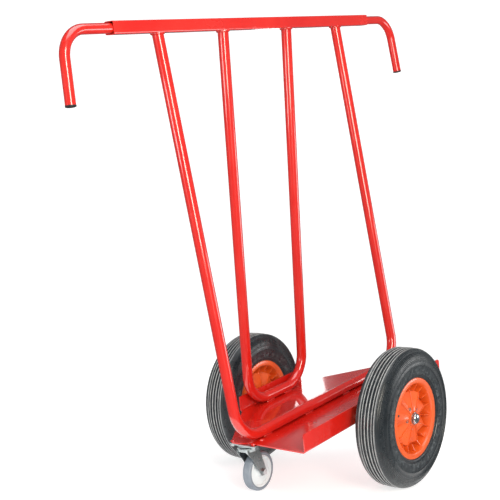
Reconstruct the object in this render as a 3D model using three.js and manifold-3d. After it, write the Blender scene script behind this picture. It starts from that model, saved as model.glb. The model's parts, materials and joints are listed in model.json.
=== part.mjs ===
// A two-wheeled sheet-material cart with a swivel caster: millimetres, +Z up, origin on the ground.
// The frame leans about its axle onto the one caster, so everything sits in a tilted group.
import * as THREE from "three";
import { mergeVertices } from "three/addons/utils/BufferGeometryUtils.js";
import Module from "manifold-3d";

const wasm = await Module();
wasm.setup();

// Driving dimensions
const GAP = 0.3; // between pieces that touch
const SHEET = 3.5; // folded sheet steel of the base
const WALL = 2; // tube walls

// Base plate, seen from above with the frame's middle at x = 0
const FRAME_X = -10; // middle of the frame, from the axle
const PLATE_TOP = 14.2; // above the axle's centre
const PLATE_BOTTOM = PLATE_TOP - SHEET;
const PLATE_FRONT = -198.5;
const PLATE_REAR = 193;
const PLATE_HALF = 374;
const EAR_X = 388; // rounded ear over the caster
const EAR_Y = 28;
const EAR_RADIUS = 25;
const REAR_HALF = 158;
const LIP_TOP = 65;
const LIP_CORNER = 9;
const FLANGE_TOP = 56;
const FOLD_RADIUS = 7;

// Uprights and top bar
const HOOP_RADIUS = 15.5;
const HOOP_Z = 30;
const HOOP_BEND = 90;
const OUTER_HOOP = { y: PLATE_FRONT + 185.5, bottomHalf: 416, topHalf: 421.5 };
const INNER_HOOP = { y: PLATE_REAR - 24, bottomHalf: 139.5, topHalf: 151.5 };
const BAR = { length: 1190, height: 34, depth: 32, corner: 4, y: 122.5, z: 1151.5 };
const BAR_UNDERSIDE = BAR.z - BAR.height / 2;

// Hooked handles in the bar's open ends
const HANDLE_RADIUS = 13.5;
const HANDLE_INSERT = 90; // length inside the bar
const HANDLE_DROP_X = 754;
const HANDLE_END_Z = 973;
const HANDLE_BEND = 75;
const HANDLE_SPLAY = 13.5; // outward over the drop
const HANDLE_RAKE = 16; // forward over the drop
const PLUG_HEAD = 6;

// Axle and wheels
const AXLE_RADIUS = 10;
const AXLE_BORE = 10.5;
const TRACK_HALF = 271;
const WHEEL_RADIUS = 200;
const TYRE_HALF = 47.5;
const RIM_RADIUS = 116;
const BEAD_RADIUS = 101.6;
const RIM_FACE = 42; // rim ring's face from the wheel's middle
const HUB_HALF = 37;
const WHEEL_FACETS = 32;
const TUBE_FACETS = 16;
const TUBE_MIDDLE = 149; // air tube's centreline
const TUBE_RADIUS = 31;
const HUB_RADIUS = 21;
const RIM_PLEATS = 9;
const RIM_FINS = 9;
const RIM_PHASE = 19; // degrees from +X to a pleat's ridge and a fin
const RIM_SCREWS = 5;
const SCREW_CIRCLE = 30;
const SCREW_PHASE = 48;
const SCREW_SEAT = 29; // head's seat from the wheel's middle
const SCREW_HEAD = 5;
const VALVE_PHASE = 169;
const VALVE_LEAN = 64; // degrees from the axle's direction
const CAP_RADIUS = 16;
const BRACKET_Y = [-165, 0, 165];
const BRACKET_THICKNESS = 6;

// Caster, seen from its swivel axis with z = 0 on the underside of the base plate
const CASTER = { x: FRAME_X - 360, y: 7, height: 151, trail: 34, radius: 55.5, width: 28 };
const CASTER_PLATE = { x: 56, y: 90, thickness: 3.5 };
const CASTER_BOLTS = [19, 36];
const CASTER_FACETS = 28;
const FORK_CHEEK = 3;
const FORK_INNER = 17.5;

// The lean: the caster's wheel and the two big wheels all touch the ground.
const CASTER_WHEEL = findCasterWheel();

const toRadians = (degrees) => (degrees * Math.PI) / 180;

function findCasterWheel() {
  const x = CASTER.x + CASTER.trail;
  const z = PLATE_BOTTOM - CASTER.height + CASTER.radius;
  const drop = (WHEEL_RADIUS - CASTER.radius) / Math.hypot(x, z);
  return { x, z, lean: Math.asin(drop) - Math.atan2(-z, -x) };
}

// ---- Solid helpers ----

// A three.js geometry as a manifold-3d solid, facing outwards.
function solid(geometry) {
  const bare = geometry.clone();
  bare.deleteAttribute("normal");
  bare.deleteAttribute("uv");
  const merged = mergeVertices(bare, 1e-3);
  const triVerts = new Uint32Array(merged.index.array);
  const vertProperties = merged.attributes.position.array;
  const made = new wasm.Manifold(new wasm.Mesh({ numProp: 3, vertProperties, triVerts }));
  if (made.volume() > 0) return made;
  const turned = triVerts.map((v, i) => triVerts[i % 3 === 1 ? i + 1 : i % 3 === 2 ? i - 1 : i]);
  return new wasm.Manifold(new wasm.Mesh({ numProp: 3, vertProperties, triVerts: turned }));
}

function geometryOf(body) {
  const mesh = body.getMesh();
  const geometry = new THREE.BufferGeometry();
  const points = new Float32Array(mesh.numVert * 3);
  for (let i = 0; i < mesh.numVert; i++) {
    points.set(mesh.vertProperties.subarray(i * mesh.numProp, i * mesh.numProp + 3), i * 3);
  }
  geometry.setAttribute("position", new THREE.BufferAttribute(points, 3));
  geometry.setIndex(new THREE.BufferAttribute(mesh.triVerts, 1));
  geometry.computeVertexNormals();
  return geometry;
}

const outward = (geometry) => geometryOf(solid(geometry));

function join(...geometries) {
  return geometryOf(geometries.map(solid).reduce((a, b) => a.add(b)));
}

function cut(base, ...tools) {
  return geometryOf(tools.map(solid).reduce((a, b) => a.subtract(b), solid(base)));
}

// ---- Shape helpers ----

function circlePoints(radius, count) {
  return Array.from({ length: count }, (_, i) => {
    const turn = (i / count) * 2 * Math.PI;
    return new THREE.Vector2(radius * Math.cos(turn), radius * Math.sin(turn));
  });
}

function roundedOutline(corners) {
  // corners: [x, y, radius], each radius rounding its corner
  const shape = new THREE.Shape();
  const count = corners.length;
  corners.forEach(([x, y, radius], i) => {
    const here = new THREE.Vector2(x, y);
    const [ax, ay] = corners[(i + count - 1) % count];
    const [bx, by] = corners[(i + 1) % count];
    const from = new THREE.Vector2(ax - x, ay - y).normalize();
    const to = new THREE.Vector2(bx - x, by - y).normalize();
    const half = Math.acos(from.dot(to)) / 2;
    const back = radius / Math.tan(half);
    const start = here.clone().addScaledVector(from, back);
    const end = here.clone().addScaledVector(to, back);
    if (i === 0) shape.moveTo(start.x, start.y);
    else shape.lineTo(start.x, start.y);
    if (radius > 0) shape.quadraticCurveTo(x, y, end.x, end.y);
  });
  shape.closePath();
  return shape;
}

function prism(shape, depth, curveSegments = 4) {
  return new THREE.ExtrudeGeometry(shape, { depth, bevelEnabled: false, curveSegments });
}

// A cylinder with its axis along Y, from y0 to y1.
function rodY(radius, y0, y1, sides = 24) {
  return new THREE.CylinderGeometry(radius, radius, y1 - y0, sides).translate(0, (y0 + y1) / 2, 0);
}

// A cylinder with its axis along Z, from z0 to z1.
function rodZ(radius, z0, z1, sides = 24) {
  return new THREE.CylinderGeometry(radius, radius, z1 - z0, sides)
    .rotateX(Math.PI / 2)
    .translate(0, 0, (z0 + z1) / 2);
}

function box(x0, x1, y0, y1, z0, z1) {
  return new THREE.BoxGeometry(x1 - x0, y1 - y0, z1 - z0).translate(
    (x0 + x1) / 2,
    (y0 + y1) / 2,
    (z0 + z1) / 2,
  );
}

// A [radius, y] profile turned about the Y axis, with a flat facet at its lowest place.
function ringY(profile, facets) {
  return outward(turned(profile, facets).rotateY(Math.PI / facets));
}

// The same about the Z axis.
function ringZ(profile, facets) {
  return outward(turned(profile, facets).rotateX(Math.PI / 2));
}

// A profile that starts on the axis ends there too, and any other closes on itself.
function turned(profile, facets) {
  const closed = profile[0][0] > 0 ? [...profile, profile[0]] : profile;
  return new THREE.LatheGeometry(closed.map(([r, y]) => new THREE.Vector2(r, y)), facets);
}

// A centreline of straight runs joined by round bends, with stations only where it turns.
class BentPath extends THREE.Curve {
  constructor(corners, radius, bendSteps) {
    super();
    this.stations = [];
    const last = corners.length - 1;
    const first = corners[1].clone().sub(corners[0]).normalize();
    this.stations.push({ point: corners[0], tangent: first });
    for (let i = 1; i < last; i++) this.addBend(corners[i - 1], corners[i], corners[i + 1], radius, bendSteps);
    const end = corners[last].clone().sub(corners[last - 1]).normalize();
    this.stations.push({ point: corners[last], tangent: end });
  }

  addBend(before, corner, after, radius, steps) {
    const into = corner.clone().sub(before).normalize();
    const out = after.clone().sub(corner).normalize();
    const turn = into.angleTo(out);
    const start = corner.clone().addScaledVector(into, -radius * Math.tan(turn / 2));
    const inward = out.clone().addScaledVector(into, -into.dot(out)).normalize();
    for (let i = 0; i <= steps; i++) {
      const angle = (turn * i) / steps;
      const point = start.clone();
      point.addScaledVector(into, radius * Math.sin(angle));
      point.addScaledVector(inward, radius * (1 - Math.cos(angle)));
      const tangent = into.clone().multiplyScalar(Math.cos(angle));
      tangent.addScaledVector(inward, Math.sin(angle));
      this.stations.push({ point, tangent });
    }
  }

  get steps() {
    return this.stations.length - 1;
  }

  getPoint(t, target = new THREE.Vector3()) {
    return target.copy(this.stations[Math.round(t * this.steps)].point);
  }

  getPointAt(t, target) {
    return this.getPoint(t, target);
  }

  getTangentAt(t, target = new THREE.Vector3()) {
    return target.copy(this.stations[Math.round(t * this.steps)].tangent);
  }
}

// A hollow round tube along a bent path, open at both ends.
function tube(path, radius, sides = 12) {
  const section = new THREE.Shape(circlePoints(radius, sides));
  section.holes.push(new THREE.Path(circlePoints(radius - WALL, sides).reverse()));
  return outward(new THREE.ExtrudeGeometry(section, { steps: path.steps, extrudePath: path }));
}

// ---- Materials ----

function paint(color, roughness, metalness) {
  return new THREE.MeshStandardMaterial({ color, roughness, metalness });
}

const redPaint = paint(0xc8201c, 0.2, 0);
const orangePlastic = paint(0xee5a22, 0.35, 0);
const tyreRubber = paint(0x2b3138, 0.6, 0);
const innerRubber = paint(0x1a1a1a, 0.8, 0);
const blackPlastic = paint(0x18181a, 0.5, 0);
const zinc = paint(0xb9c0c2, 0.35, 1);
const bareSteel = paint(0xc4c8ca, 0.25, 1);
const greyRubber = paint(0x8f949c, 0.6, 0);
const whitePlastic = paint(0xe9edf0, 0.45, 0);

const cart = new THREE.Group();

function piece(parent, name, geometry, material) {
  const mesh = new THREE.Mesh(geometry, material);
  mesh.name = name;
  parent.add(mesh);
  return mesh;
}

// ---- Base ----

function plateOutline() {
  return roundedOutline([
    [-PLATE_HALF, PLATE_FRONT + FOLD_RADIUS, 0],
    [PLATE_HALF, PLATE_FRONT + FOLD_RADIUS, 0],
    [PLATE_HALF, EAR_Y - 36, 4],
    [EAR_X, EAR_Y - 10, EAR_RADIUS / 2],
    [EAR_X, EAR_Y + 12, EAR_RADIUS / 2],
    [REAR_HALF - 2, PLATE_REAR - FOLD_RADIUS + 0.5, 0],
    [2 - REAR_HALF, PLATE_REAR - FOLD_RADIUS + 0.5, 0],
    [-EAR_X, EAR_Y + 12, EAR_RADIUS / 2],
    [-EAR_X, EAR_Y - 10, EAR_RADIUS / 2],
    [-PLATE_HALF, EAR_Y - 36, 4],
  ]);
}

// An upturned edge: a quarter-round fold and a straight wall, as a prism along X. side is -1 in front.
function foldedEdge(side, edge, top, half) {
  const steps = 4;
  const centre = edge - side * FOLD_RADIUS;
  const arc = (radius, i) => {
    const angle = ((i / steps) * Math.PI) / 2;
    const y = centre + side * radius * Math.sin(angle);
    return new THREE.Vector2(y, PLATE_BOTTOM + FOLD_RADIUS - radius * Math.cos(angle));
  };
  const outer = Array.from({ length: steps + 1 }, (_, i) => arc(FOLD_RADIUS, i));
  const inner = Array.from({ length: steps + 1 }, (_, i) => arc(FOLD_RADIUS - SHEET, steps - i));
  const wall = [new THREE.Vector2(edge, top), new THREE.Vector2(edge - side * SHEET, top)];
  const foot = [new THREE.Vector2(centre - side, PLATE_TOP), new THREE.Vector2(centre - side, PLATE_BOTTOM)];
  const section = new THREE.Shape([...outer, ...wall, ...inner, ...foot]);
  // The section's plane is Y-Z, and its prism runs along X.
  const turn = new THREE.Matrix4().makeBasis(
    new THREE.Vector3(0, 1, 0),
    new THREE.Vector3(0, 0, 1),
    new THREE.Vector3(1, 0, 0),
  );
  return outward(prism(section, 2 * half).applyMatrix4(turn).translate(-half, 0, 0));
}

// Clips an upturned wall's two top corners round.
function roundTopCorners(geometry, y, top, half, radius) {
  const tools = [-1, 1].map((side) => {
    const corner = box(0, radius + 1, -SHEET * 4, SHEET * 4, 0, radius + 1);
    const round = rodY(radius, -SHEET * 5, SHEET * 5, 24);
    return cut(corner, round)
      .scale(side, 1, 1)
      .translate(side * (half - radius), y, top - radius);
  });
  return cut(geometry, ...tools);
}

function makeBasePlate() {
  const [boltX, boltY] = CASTER_BOLTS;
  const sheet = prism(plateOutline(), SHEET, 5).translate(0, 0, PLATE_BOTTOM);
  const lip = roundTopCorners(
    foldedEdge(-1, PLATE_FRONT, LIP_TOP, PLATE_HALF),
    PLATE_FRONT,
    LIP_TOP,
    PLATE_HALF,
    LIP_CORNER,
  );
  const flange = foldedEdge(1, PLATE_REAR, FLANGE_TOP, REAR_HALF);
  const folded = join(sheet, lip, flange);
  const holes = [];
  for (const x of [-boltX, boltX]) {
    for (const y of [-boltY, boltY]) {
      holes.push(rodZ(4.6, 0, 30, 12).translate(CASTER.x - FRAME_X + x, CASTER.y + y, 0));
    }
  }
  piece(cart, "base_plate", cut(folded, ...holes).translate(FRAME_X, 0, 0), redPaint);
}

// ---- Uprights ----

function makeHoop(name, { y, bottomHalf, topHalf }) {
  const rise = BAR_UNDERSIDE - GAP - HOOP_Z;
  const path = new BentPath(
    [
      new THREE.Vector3(-topHalf, BAR.y, HOOP_Z + rise),
      new THREE.Vector3(-bottomHalf, y, HOOP_Z),
      new THREE.Vector3(bottomHalf, y, HOOP_Z),
      new THREE.Vector3(topHalf, BAR.y, HOOP_Z + rise),
    ],
    HOOP_BEND,
    7,
  );
  // The open ends are cut level under the bar.
  const lid = box(-600, 600, -300, 300, BAR_UNDERSIDE - GAP, BAR_UNDERSIDE + 60);
  piece(cart, name, cut(tube(path, HOOP_RADIUS), lid).translate(FRAME_X, 0, 0), redPaint);
}

function boxSection(height, depth, corner) {
  const x = depth / 2;
  const y = height / 2;
  return [
    [-x, -y, corner],
    [x, -y, corner],
    [x, y, corner],
    [-x, y, corner],
  ];
}

function makeBar() {
  const section = roundedOutline(boxSection(BAR.height, BAR.depth, BAR.corner));
  const bore = roundedOutline(boxSection(BAR.height - 2 * WALL, BAR.depth - 2 * WALL, BAR.corner - WALL));
  section.holes.push(bore);
  // The section's plane is Y-Z: its depth lies along Y and its height along Z.
  const turn = new THREE.Matrix4().makeBasis(
    new THREE.Vector3(0, 1, 0),
    new THREE.Vector3(0, 0, 1),
    new THREE.Vector3(1, 0, 0),
  );
  const bar = prism(section, BAR.length, 3).applyMatrix4(turn);
  piece(cart, "top_bar", outward(bar.translate(FRAME_X - BAR.length / 2, BAR.y, BAR.z)), redPaint);
}

function makeHandle(side, name) {
  const z = BAR.z - 0.6;
  const start = new THREE.Vector3(side * (BAR.length / 2 - HANDLE_INSERT), BAR.y, z);
  const corner = new THREE.Vector3(side * HANDLE_DROP_X, BAR.y, z);
  const end = new THREE.Vector3(side * (HANDLE_DROP_X + HANDLE_SPLAY), BAR.y - HANDLE_RAKE, HANDLE_END_Z);
  const path = new BentPath([start, corner, end], HANDLE_BEND, 8);
  piece(cart, name + "_handle", tube(path, HANDLE_RADIUS).translate(FRAME_X, 0, 0), redPaint);

  // A push-in end plug: a short stem in the tube and a domed head below it.
  const stem = HANDLE_RADIUS - WALL - 0.8;
  const head = HANDLE_RADIUS + 0.6;
  const plug = ringZ(
    [
      [0, 26],
      [stem - 1, 26],
      [stem, 24],
      [stem, 0],
      [head, 0],
      [head, -PLUG_HEAD / 2],
      [head * 0.7, -PLUG_HEAD * 0.9],
      [0, -PLUG_HEAD],
    ],
    16,
  );
  const down = end.clone().sub(corner).normalize();
  const mesh = piece(cart, name + "_handle_plug", plug, blackPlastic);
  mesh.quaternion.setFromUnitVectors(new THREE.Vector3(0, 0, -1), down);
  mesh.position.copy(end.addScaledVector(down, GAP)).add(new THREE.Vector3(FRAME_X, 0, 0));
}

// ---- Axle ----

function makeAxle() {
  const half = TRACK_HALF + HUB_HALF + 6;
  const axle = new THREE.LatheGeometry(
    [
      [0, -half],
      [AXLE_RADIUS - 1, -half],
      [AXLE_RADIUS, 1 - half],
      [AXLE_RADIUS, half - 1],
      [AXLE_RADIUS - 1, half],
      [0, half],
    ].map(([r, y]) => new THREE.Vector2(r, y)),
    24,
  );
  piece(cart, "axle", outward(axle), bareSteel);
  const names = ["near_axle_bracket", "middle_axle_bracket", "far_axle_bracket"];
  BRACKET_Y.forEach((y, i) => piece(cart, names[i], makeBracket(y), redPaint));
}

// A plate on edge under the base, rounded below the axle that it cradles.
function makeBracket(y) {
  const top = PLATE_BOTTOM - GAP;
  const outline = roundedOutline([
    [-34, top, 0],
    [-34, top - 9, 0],
    [-17, -19, 9],
    [17, -19, 9],
    [34, top - 9, 0],
    [34, top, 0],
  ]);
  const upright = prism(outline, BRACKET_THICKNESS, 4).rotateX(Math.PI / 2);
  const bore = rodY(AXLE_BORE, y - 20, y + 20);
  return cut(upright.translate(0, y + BRACKET_THICKNESS / 2, 0), bore);
}

// ---- Pneumatic wheels ----

// The casing: a tread, two sidewalls and two beads, open towards the rim.
function makeTyre() {
  const crown = WHEEL_RADIUS / Math.cos(Math.PI / WHEEL_FACETS);
  return ringY(
    [
      [crown, -20],
      [crown, 20],
      [crown - 9, 38],
      [170, TYRE_HALF],
      [140, 45],
      [BEAD_RADIUS + 3, 31],
      [BEAD_RADIUS + 3, 22],
      [140, 37],
      [189, 32],
      [189, -32],
      [140, -37],
      [BEAD_RADIUS + 3, -22],
      [BEAD_RADIUS + 3, -31],
      [140, -45],
      [170, -TYRE_HALF],
      [crown - 9, -38],
    ],
    WHEEL_FACETS,
  );
}

// The air tube, a thin skin whose seam stays open by a slit that faces the rim.
function makeInnerTube() {
  const sides = 7;
  const arc = (radius, i) => {
    const angle = ((i + 0.5) / sides) * 2 * Math.PI;
    return [TUBE_MIDDLE - radius * Math.cos(angle), radius * Math.sin(angle)];
  };
  const outer = Array.from({ length: sides }, (_, i) => arc(TUBE_RADIUS, i));
  const inner = Array.from({ length: sides }, (_, i) => arc(TUBE_RADIUS - WALL, sides - 1 - i));
  return ringY([...outer, ...inner], TUBE_FACETS);
}

// A [radius, y in a valley, y on a ridge] profile turned about the Y axis into radial pleats.
function pleatedRing(profile) {
  const count = 2 * RIM_PLEATS;
  const points = [];
  for (const [radius, valley, ridge] of profile) {
    for (let i = 0; i < count; i++) {
      const turn = toRadians(RIM_PHASE) + (i / count) * 2 * Math.PI;
      points.push(radius * Math.cos(turn), i % 2 ? valley : ridge, radius * Math.sin(turn));
    }
  }
  const index = [];
  for (let ring = 0; ring < profile.length; ring++) {
    const here = ring * count;
    const next = ((ring + 1) % profile.length) * count;
    for (let i = 0; i < count; i++) {
      const j = (i + 1) % count;
      index.push(here + i, here + j, next + j, here + i, next + j, next + i);
    }
  }
  const geometry = new THREE.BufferGeometry();
  geometry.setAttribute("position", new THREE.Float32BufferAttribute(points, 3));
  geometry.setIndex(index);
  return geometry;
}

// Half a rim: hub, pleated dish, finned channel, bead seat and flange. It faces +Y.
function makeRimHalf() {
  const dish = pleatedRing([
    [AXLE_BORE + 3, 0.2, 0.2],
    [AXLE_BORE + 3, HUB_HALF, HUB_HALF],
    [HUB_RADIUS, HUB_HALF, HUB_HALF],
    [22.5, 33, 34],
    [79, 12, 27],
    [79.5, 0.2, 0.2],
    [75.5, 0.2, 0.2],
    [73, 9.5, 23],
    [40, 22, 27.5],
    [36, 0.2, 0.2],
  ]);
  const ring = ringY(
    [
      [78, 0.2],
      [78, 6],
      [94, 6],
      [98, 34],
      [103, RIM_FACE],
      [RIM_RADIUS, RIM_FACE],
      [RIM_RADIUS, RIM_FACE - 4],
      [BEAD_RADIUS, RIM_FACE - 10],
      [BEAD_RADIUS, 0.2],
    ],
    WHEEL_FACETS,
  );
  const outline = [[77.5, 3], [96, 3], [99, 30], [79, 25]].map(([x, y]) => new THREE.Vector2(x, y));
  const fins = anglesAround(RIM_FINS, RIM_PHASE).map((angle) =>
    prism(new THREE.Shape(outline), 2.4).translate(0, 0, -1.2).rotateY(-angle),
  );
  const bores = anglesAround(RIM_SCREWS, SCREW_PHASE).flatMap((angle) => [
    rodY(3.4, -1, RIM_FACE, 8).translate(SCREW_CIRCLE, 0, 0).rotateY(-angle),
    rodY(SCREW_HEAD + 0.8, SCREW_SEAT, RIM_FACE, 10).translate(SCREW_CIRCLE, 0, 0).rotateY(-angle),
  ]);
  return cut(join(dish, ring, ...fins), ...bores);
}

function anglesAround(count, phase) {
  return Array.from({ length: count }, (_, i) => toRadians(phase) + (i / count) * 2 * Math.PI);
}

// A screw along Y that holds the two rim halves together, its head on the outer half.
function makeRimScrew(side) {
  const seat = SCREW_SEAT + GAP;
  const profile = [[0, seat + 3], [3.5, seat + 3], [SCREW_HEAD, seat + 1.6], [SCREW_HEAD, seat]];
  profile.push([3, seat], [3, 1 - SCREW_SEAT], [0, -SCREW_SEAT]);
  return ringY(profile.map(([r, y]) => [r, side * y]), 10);
}

function makeWheel(side, name) {
  const wheel = new THREE.Group();
  wheel.position.y = side * TRACK_HALF;
  wheel.rotation.y = CASTER_WHEEL.lean; // upright on the ground, so a flat facet of the tread is lowest
  cart.add(wheel);

  piece(wheel, name + "_tyre", makeTyre(), tyreRubber);
  piece(wheel, name + "_inner_tube", makeInnerTube(), innerRubber);
  const rimHalf = makeRimHalf();
  piece(wheel, name + "_rim_outer", outward(rimHalf.clone().scale(1, side, 1)), orangePlastic);
  piece(wheel, name + "_rim_inner", outward(rimHalf.clone().scale(1, -side, 1)), orangePlastic);
  anglesAround(RIM_SCREWS, SCREW_PHASE).forEach((angle, i) => {
    const screw = piece(wheel, name + "_rim_screw_" + (i + 1), makeRimScrew(side), zinc);
    screw.position.set(SCREW_CIRCLE * Math.cos(angle), 0, SCREW_CIRCLE * Math.sin(angle));
  });
  const bush = ringY(
    [
      [AXLE_BORE, -HUB_HALF],
      [AXLE_BORE, HUB_HALF],
      [AXLE_BORE + 2.5, HUB_HALF],
      [AXLE_BORE + 2.5, -HUB_HALF],
    ],
    24,
  );
  piece(wheel, name + "_hub_bush", bush, bareSteel);
  piece(wheel, name + "_valve", makeValve(side), blackPlastic);
}

// The valve stem leans out of the rim's channel towards the hub, between two fins.
function makeValve(side) {
  const stem = turned([[0, 0], [4.2, 0], [4.2, 5], [3.2, 6], [3.2, 17], [2.6, 18], [2.6, 22], [0, 22]], 10);
  const rooted = stem.rotateZ(toRadians(VALVE_LEAN)).scale(1, side, 1).translate(93.5, side * 20, 0);
  return outward(rooted.rotateY(-toRadians(VALVE_PHASE)));
}

// Collars, washers and end caps that keep the wheels on the axle.
function makeWheelStops(side, name) {
  const inner = TRACK_HALF - HUB_HALF;
  const outer = TRACK_HALF + HUB_HALF;
  const ring = (r0, r1, y0, y1) => {
    const profile = [
      [r0, y0],
      [r0, y1],
      [r1, y1],
      [r1, y0],
    ];
    return ringY(profile.map(([r, y]) => [r, side * y]), 24);
  };
  piece(cart, name + "_axle_collar", ring(AXLE_BORE, 17, inner - 14, inner - 3), bareSteel);
  piece(cart, name + "_inner_washer", ring(AXLE_BORE, 19, inner - 2.6, inner - 0.6), zinc);
  piece(cart, name + "_outer_washer", ring(AXLE_BORE, CAP_RADIUS + 1.5, outer + 0.6, outer + 2.6), zinc);
  const cap = ringY(
    [
      [0, outer + 14],
      [CAP_RADIUS * 0.55, outer + 13],
      [CAP_RADIUS - 2, outer + 10],
      [CAP_RADIUS, outer + 7],
      [CAP_RADIUS, outer + 3],
      [AXLE_BORE, outer + 3],
      [AXLE_BORE, outer + 6.6],
      [0, outer + 7],
    ].map(([r, y]) => [r, side * y]),
    24,
  );
  piece(cart, name + "_axle_cap", cap, bareSteel);
}

// ---- Caster ----

function makeCaster() {
  const caster = new THREE.Group();
  caster.position.set(CASTER.x, CASTER.y, PLATE_BOTTOM);
  cart.add(caster);
  makeCasterMount(caster);
  makeFork(caster);
  makeCasterWheel(caster);
}

function makeCasterMount(caster) {
  const [boltX, boltY] = CASTER_BOLTS;
  const { x, y, thickness } = CASTER_PLATE;
  const outline = roundedOutline([
    [-x / 2, -y / 2, 8],
    [x / 2, -y / 2, 8],
    [x / 2, y / 2, 8],
    [-x / 2, y / 2, 8],
  ]);
  outline.holes.push(new THREE.Path(circlePoints(6.5, 16).reverse()));
  for (const [sx, sy] of [[-1, -1], [-1, 1], [1, -1], [1, 1]]) {
    const hole = circlePoints(4.6, 12).map((p) => p.add(new THREE.Vector2(sx * boltX, sy * boltY)));
    outline.holes.push(new THREE.Path(hole.reverse()));
  }
  const plate = outward(prism(outline, thickness, 3).translate(0, 0, -GAP - thickness));
  piece(caster, "caster_plate", plate, zinc);

  const under = -GAP - thickness;
  let number = 1;
  for (const sx of [-1, 1]) {
    for (const sy of [-1, 1]) {
      const bolt = piece(caster, "caster_bolt_" + number, makeBolt(under), redPaint);
      bolt.position.set(sx * boltX, sy * boltY, 0);
      const nut = piece(caster, "caster_nut_" + number, makeNut(), zinc);
      nut.position.set(sx * boltX, sy * boltY, under - GAP);
      number++;
    }
  }

  const race = ringZ([[6.6, under - GAP], [26, under - GAP], [26, under - 4], [21, under - 6], [6.6, under - 6]], 24);
  piece(caster, "caster_bearing_race", race, zinc);
  const pin = ringZ([[0, -0.5], [6, -0.5], [6, -15.2], [11, -15.2], [11, -19], [0, -20]], 16);
  piece(caster, "caster_kingpin", pin, zinc);
}

// A round-head bolt from above: z = 0 is the base plate's underside.
function makeBolt(under) {
  const top = SHEET + GAP;
  return ringZ([[0, top + 3], [5, top + 2.4], [8, top], [4, top], [4, under - 7], [0, under - 7]], 12);
}

function makeNut() {
  const nut = new THREE.Shape(circlePoints(7.2, 6));
  nut.holes.push(new THREE.Path(circlePoints(4.6, 12).reverse()));
  return outward(prism(nut, 5.5).translate(0, 0, -5.5));
}

// A pressed fork: a round crown around the kingpin and two cheeks that rake back to the wheel's axle.
function makeFork(caster) {
  const crownTop = -10.6;
  const axleZ = CASTER_WHEEL.z - PLATE_BOTTOM;
  const cheek = roundedOutline([
    [-27, crownTop - 1, 0],
    [-27, crownTop - 16, 8],
    [CASTER.trail - 11, axleZ - 10, 9],
    [CASTER.trail + 11, axleZ - 10, 9],
    [CASTER.trail + 6, crownTop - 30, 12],
    [27, crownTop - 1, 0],
  ]);
  const outer = FORK_INNER + FORK_CHEEK;
  const cheeks = [-outer, FORK_INNER].map((y) =>
    prism(cheek, FORK_CHEEK, 4).rotateX(Math.PI / 2).translate(0, y + FORK_CHEEK, 0),
  );
  const crown = rodZ(27, crownTop - 3, crownTop, 24);
  const web = box(-27, 27, -outer, outer, crownTop - 3, crownTop);
  const bore = rodZ(6.6, -40, 0, 16);
  const axleBore = rodY(5.5, -40, 40, 16).translate(CASTER.trail, 0, axleZ);
  piece(caster, "caster_fork", cut(join(crown, web, ...cheeks), bore, axleBore), zinc);

  const bolt = piece(caster, "caster_axle_bolt", makeCasterAxle(outer), bareSteel);
  const nut = new THREE.Shape(circlePoints(8.6, 6));
  nut.holes.push(new THREE.Path(circlePoints(5.5, 12).reverse()));
  const nutGeometry = outward(prism(nut, 6).rotateX(-Math.PI / 2).translate(0, outer + GAP, 0));
  const nutMesh = piece(caster, "caster_axle_nut", nutGeometry, bareSteel);
  for (const mesh of [bolt, nutMesh]) mesh.position.set(CASTER.trail, 0, axleZ);
}

function makeCasterAxle(outer) {
  const head = new THREE.CylinderGeometry(8.6, 8.6, 5.5, 6).translate(0, -outer - GAP - 2.75, 0);
  return join(head, rodY(5, -outer - GAP - 1, outer + 8, 16));
}

function makeCasterWheel(caster) {
  const wheel = new THREE.Group();
  wheel.position.set(CASTER.trail, 0, CASTER_WHEEL.z - PLATE_BOTTOM);
  wheel.rotation.y = CASTER_WHEEL.lean;
  caster.add(wheel);
  const half = CASTER.width / 2;
  const crown = CASTER.radius / Math.cos(Math.PI / CASTER_FACETS);
  const tread = ringY(
    [[45, -half + 1], [45, half - 1], [50, half], [crown, half - 5], [crown, 5 - half], [50, -half]],
    CASTER_FACETS,
  );
  const core = ringY(
    [[8, -15.5], [8, 15.5], [12, 15.5], [14, 10], [37, 9], [40, 12.6], [44.6, 12.6]]
      .concat([[44.6, -12.6], [40, -12.6], [37, -9], [14, -10], [12, -15.5]]),
    CASTER_FACETS,
  );
  const bush = ringY([[5.6, -16.5], [5.6, 16.5], [7.6, 16.5], [7.6, -16.5]], 16);
  piece(wheel, "caster_tread", tread, greyRubber);
  piece(wheel, "caster_wheel_core", core, whitePlastic);
  piece(wheel, "caster_bush", bush, bareSteel);
}

// ---- Assembly ----

makeBasePlate();
makeHoop("outer_hoop", OUTER_HOOP);
makeHoop("inner_hoop", INNER_HOOP);
makeBar();
makeHandle(-1, "near");
makeHandle(1, "far");
makeAxle();
for (const [side, name] of [[-1, "near"], [1, "far"]]) {
  makeWheel(side, name);
  makeWheelStops(side, name);
}
makeCaster();

cart.rotation.y = -CASTER_WHEEL.lean;
cart.position.z = WHEEL_RADIUS;

// The origin is on the ground, below the middle of the whole cart's box.
const root = new THREE.Group();
root.name = "cart";
root.add(cart);
root.updateMatrixWorld(true);
const middle = new THREE.Box3().setFromObject(root, true).getCenter(new THREE.Vector3());
cart.position.x -= middle.x;
cart.position.y -= middle.y;

export default root;
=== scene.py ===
import json
import math

import bmesh
import bpy
from mathutils import Matrix, Vector


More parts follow.
